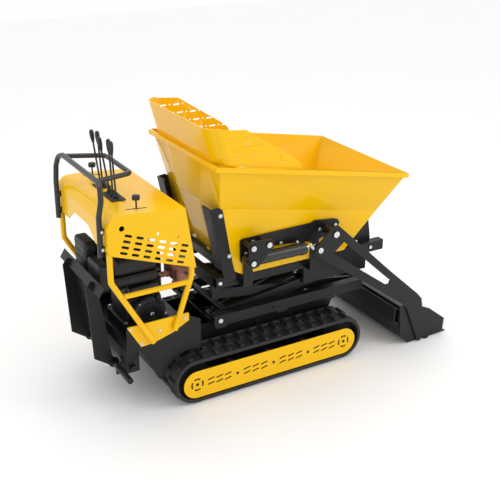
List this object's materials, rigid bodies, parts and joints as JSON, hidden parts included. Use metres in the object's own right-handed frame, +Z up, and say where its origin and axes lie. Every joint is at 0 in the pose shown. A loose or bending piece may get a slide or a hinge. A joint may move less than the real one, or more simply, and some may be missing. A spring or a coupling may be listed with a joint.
{
  "type": "tracked power wheelbarrow",
  "caption": "Tracked power wheelbarrow with a scissor lift, a tipping skip, a self-loading shovel on side arms, a fold-down platform and hand levers.",
  "frame": {"origin": "centre of the machine's overall box, on the ground under the tracks", "axes": "+X towards the shovel, +Y to the left of travel, +Z up"},
  "size_m": [2.051, 0.8406, 1.39],
  "materials": {
    "yellow_paint": "smooth glossy enamel",
    "black_paint": "satin powder coat",
    "dark_plastic": "fine grain",
    "rubber": "moulded, slightly dusty",
    "cast_iron": "cast, machined where it turns",
    "engine_metal": "dark painted castings",
    "zinc": "zinc plated",
    "chrome": "hard chrome, ground",
    "heat_tinted_steel": "dull, brown from heat"
  },
  "bodies": {
    "machine": {"chassis": "black_paint", "engine_deck": "black_paint", "hydraulic_tank": "black_paint", "track_beam_right": "black_paint", "track_beam_left": "black_paint", "track_cover_right": "yellow_paint", "track_cover_left": "yellow_paint", "belt_right": "rubber", "belt_left": "rubber", "lift_base": "black_paint", "frame_pins": "zinc", "engine": "engine_metal", "fuel_tank": "dark_plastic", "air_cleaner": "dark_plastic", "muffler": "heat_tinted_steel", "hydraulics": "engine_metal", "hood": "yellow_paint", "lever_boots": "dark_plastic", "handlebar": "black_paint", "guard_right": "yellow_paint", "guard_left": "yellow_paint", "body_bolts": "zinc"},
    "sprocket_right": {"sprocket_right": "cast_iron"},
    "sprocket_left": {"sprocket_left": "cast_iron"},
    "idler_right": {"idler_right": "cast_iron"},
    "idler_left": {"idler_left": "cast_iron"},
    "road_roller_right_1": {"road_roller_right_1": "cast_iron"},
    "road_roller_right_2": {"road_roller_right_2": "cast_iron"},
    "road_roller_right_3": {"road_roller_right_3": "cast_iron"},
    "road_roller_left_1": {"road_roller_left_1": "cast_iron"},
    "road_roller_left_2": {"road_roller_left_2": "cast_iron"},
    "road_roller_left_3": {"road_roller_left_3": "cast_iron"},
    "fuel_cap": {"fuel_cap": "dark_plastic"},
    "platform": {"platform": "black_paint"},
    "outer_arms": {"lift_arms_outer": "black_paint"},
    "inner_arms": {"lift_arms_inner": "black_paint"},
    "upper_rollers": {"lift_rollers_upper": "zinc"},
    "lower_rollers": {"lift_rollers_lower": "zinc"},
    "lift_barrel": {"lift_cylinder": "black_paint"},
    "lift_piston": {"lift_rod": "chrome"},
    "upper_frame": {"lift_frame": "black_paint", "loader_brackets": "black_paint"},
    "tip_barrel": {"tip_cylinder": "black_paint"},
    "tip_piston": {"tip_rod": "chrome"},
    "skip_body": {"skip": "yellow_paint", "skip_hinge": "black_paint", "spill_guard": "yellow_paint", "skip_uprights": "black_paint", "skip_bolts": "zinc"},
    "loader": {"loader_arms": "black_paint", "shovel": "black_paint"},
    "loader_barrels": {"loader_cylinders": "black_paint"},
    "loader_pistons": {"loader_rods": "chrome"},
    "travel_lever_left": {"travel_lever_left": "dark_plastic"},
    "travel_lever_right": {"travel_lever_right": "dark_plastic"},
    "lift_lever": {"lift_lever": "dark_plastic"},
    "tip_lever": {"tip_lever": "dark_plastic"},
    "loader_lever": {"loader_lever": "dark_plastic"},
    "throttle_lever": {"throttle_lever": "dark_plastic"},
    "choke_lever": {"choke_lever": "dark_plastic"}
  },
  "joints": [
    {"name": "right_sprocket_turn", "type": "hinge", "parent": "machine", "child": "sprocket_right", "pos_m": [-0.5575, -0.272, 0.124], "axis": [0, 1, 0], "continuous": true},
    {"name": "right_idler_turn", "type": "hinge", "parent": "machine", "child": "idler_right", "pos_m": [0.3225, -0.272, 0.124], "axis": [0, 1, 0], "continuous": true},
    {"name": "right_roller_1_turn", "type": "hinge", "parent": "machine", "child": "road_roller_right_1", "pos_m": [-0.3375, -0.272, 0.0583], "axis": [0, 1, 0], "continuous": true},
    {"name": "right_roller_2_turn", "type": "hinge", "parent": "machine", "child": "road_roller_right_2", "pos_m": [-0.1175, -0.272, 0.0583], "axis": [0, 1, 0], "continuous": true},
    {"name": "right_roller_3_turn", "type": "hinge", "parent": "machine", "child": "road_roller_right_3", "pos_m": [0.1025, -0.272, 0.0583], "axis": [0, 1, 0], "continuous": true},
    {"name": "left_sprocket_turn", "type": "hinge", "parent": "machine", "child": "sprocket_left", "pos_m": [-0.5575, 0.272, 0.124], "axis": [0, 1, 0], "continuous": true},
    {"name": "left_idler_turn", "type": "hinge", "parent": "machine", "child": "idler_left", "pos_m": [0.3225, 0.272, 0.124], "axis": [0, 1, 0], "continuous": true},
    {"name": "left_roller_1_turn", "type": "hinge", "parent": "machine", "child": "road_roller_left_1", "pos_m": [-0.3375, 0.272, 0.0583], "axis": [0, 1, 0], "continuous": true},
    {"name": "left_roller_2_turn", "type": "hinge", "parent": "machine", "child": "road_roller_left_2", "pos_m": [-0.1175, 0.272, 0.0583], "axis": [0, 1, 0], "continuous": true},
    {"name": "left_roller_3_turn", "type": "hinge", "parent": "machine", "child": "road_roller_left_3", "pos_m": [0.1025, 0.272, 0.0583], "axis": [0, 1, 0], "continuous": true},
    {"name": "fuel_cap_turn", "type": "hinge", "parent": "machine", "child": "fuel_cap", "pos_m": [-0.7725, 0.06, 0.772], "axis": [0, 0, 1], "continuous": true},
    {"name": "platform_fold", "type": "hinge", "parent": "machine", "child": "platform", "pos_m": [-0.9075, 0, 0.237], "axis": [0, -1, 0], "range_deg": [0, 93]},
    {"name": "lift_raise", "type": "hinge", "parent": "machine", "child": "outer_arms", "pos_m": [-0.3625, 0, 0.361], "axis": [0, -1, 0], "range_deg": [0, 42]},
    {"name": "scissor_centre", "type": "hinge", "parent": "outer_arms", "child": "inner_arms", "pos_m": [0.05836, 0, 0.42015], "axis": [0, 1, 0], "range_deg": [0, 84]},
    {"name": "upper_frame_level", "type": "hinge", "parent": "inner_arms", "child": "upper_frame", "pos_m": [-0.3625, 0, 0.4793], "axis": [0, -1, 0], "range_deg": [0, 42]},
    {"name": "upper_rollers_turn", "type": "hinge", "parent": "outer_arms", "child": "upper_rollers", "pos_m": [0.47923, 0, 0.4793], "axis": [0, 1, 0], "continuous": true},
    {"name": "lower_rollers_turn", "type": "hinge", "parent": "inner_arms", "child": "lower_rollers", "pos_m": [0.47923, 0, 0.361], "axis": [0, 1, 0], "continuous": true},
    {"name": "lift_cylinder_swing", "type": "hinge", "parent": "machine", "child": "lift_barrel", "pos_m": [-0.2945, 0, 0.269], "axis": [0, -1, 0], "range_deg": [0, 42.07]},
    {"name": "lift_rod_slide", "type": "slide", "parent": "lift_barrel", "child": "lift_piston", "axis": [0.9665, 0, 0.2567], "range_m": [0, 0.0822]},
    {"name": "skip_tip", "type": "hinge", "parent": "upper_frame", "child": "skip_body", "pos_m": [0.5625, 0, 0.569], "axis": [0, -1, 0], "range_deg": [-65, 0]},
    {"name": "tip_cylinder_swing", "type": "hinge", "parent": "upper_frame", "child": "tip_barrel", "pos_m": [-0.0575, 0, 0.56], "axis": [0, -1, 0], "range_deg": [0, 18.37]},
    {"name": "tip_rod_slide", "type": "slide", "parent": "tip_barrel", "child": "tip_piston", "axis": [0.9984, 0, 0.0574], "range_m": [0, 0.1802]},
    {"name": "loader_raise", "type": "hinge", "parent": "upper_frame", "child": "loader", "pos_m": [0.2125, 0, 0.773], "axis": [0, -1, 0], "range_deg": [0, 126]},
    {"name": "loader_cylinder_swing", "type": "hinge", "parent": "upper_frame", "child": "loader_barrels", "pos_m": [-0.2555, 0, 0.708], "axis": [0, -1, 0], "range_deg": [0, 3.2]},
    {"name": "loader_rod_slide", "type": "slide", "parent": "loader_barrels", "child": "loader_pistons", "axis": [1, 0, -0.0053], "range_m": [0, 0.2028]},
    {"name": "travel_lever_left_pull", "type": "hinge", "parent": "machine", "child": "travel_lever_left", "pos_m": [-0.8255, 0.098, 1.08], "axis": [0, 1, 0], "range_deg": [-20, 20], "stiffness_Nm_per_rad": 2},
    {"name": "travel_lever_right_pull", "type": "hinge", "parent": "machine", "child": "travel_lever_right", "pos_m": [-0.8255, 0.066, 1.08], "axis": [0, 1, 0], "range_deg": [-20, 20], "stiffness_Nm_per_rad": 2},
    {"name": "lift_lever_pull", "type": "hinge", "parent": "machine", "child": "lift_lever", "pos_m": [-0.8345, -0.045, 1.08], "axis": [0, 1, 0], "range_deg": [-20, 20], "stiffness_Nm_per_rad": 2},
    {"name": "tip_lever_pull", "type": "hinge", "parent": "machine", "child": "tip_lever", "pos_m": [-0.8345, -0.085, 1.08], "axis": [0, 1, 0], "range_deg": [-20, 20], "stiffness_Nm_per_rad": 2},
    {"name": "loader_lever_pull", "type": "hinge", "parent": "machine", "child": "loader_lever", "pos_m": [-0.8345, -0.125, 1.08], "axis": [0, 1, 0], "range_deg": [-20, 20], "stiffness_Nm_per_rad": 2},
    {"name": "throttle_lever_set", "type": "hinge", "parent": "machine", "child": "throttle_lever", "pos_m": [-0.7985, -0.275, 0.96], "axis": [0, 1, 0], "range_deg": [-24, 24]},
    {"name": "choke_lever_set", "type": "hinge", "parent": "machine", "child": "choke_lever", "pos_m": [-0.7985, 0.275, 0.96], "axis": [0, 1, 0], "range_deg": [-24, 24]}
  ],
  "couplings": [
    {"joint": "right_idler_turn", "follows": "right_sprocket_turn", "ratio": 1},
    {"joint": "right_roller_1_turn", "follows": "right_sprocket_turn", "ratio": 3.0625},
    {"joint": "right_roller_2_turn", "follows": "right_sprocket_turn", "ratio": 3.0625},
    {"joint": "right_roller_3_turn", "follows": "right_sprocket_turn", "ratio": 3.0625},
    {"joint": "left_idler_turn", "follows": "left_sprocket_turn", "ratio": 1},
    {"joint": "left_roller_1_turn", "follows": "left_sprocket_turn", "ratio": 3.0625},
    {"joint": "left_roller_2_turn", "follows": "left_sprocket_turn", "ratio": 3.0625},
    {"joint": "left_roller_3_turn", "follows": "left_sprocket_turn", "ratio": 3.0625},
    {"joint": "scissor_centre", "follows": "lift_raise", "ratio": 2},
    {"joint": "upper_frame_level", "follows": "lift_raise", "ratio": 1},
    {"joint": "lift_cylinder_swing", "follows": "lift_raise", "ratio": 1.0017},
    {"joint": "lift_rod_slide", "follows": "lift_raise", "m_per_rad": 0.11185},
    {"joint": "tip_cylinder_swing", "follows": "skip_tip", "ratio": -0.28255},
    {"joint": "tip_rod_slide", "follows": "skip_tip", "m_per_rad": -0.1587},
    {"joint": "loader_cylinder_swing", "follows": "loader_raise", "ratio": 0.025378},
    {"joint": "loader_rod_slide", "follows": "loader_raise", "m_per_rad": 0.092127}
  ]
}
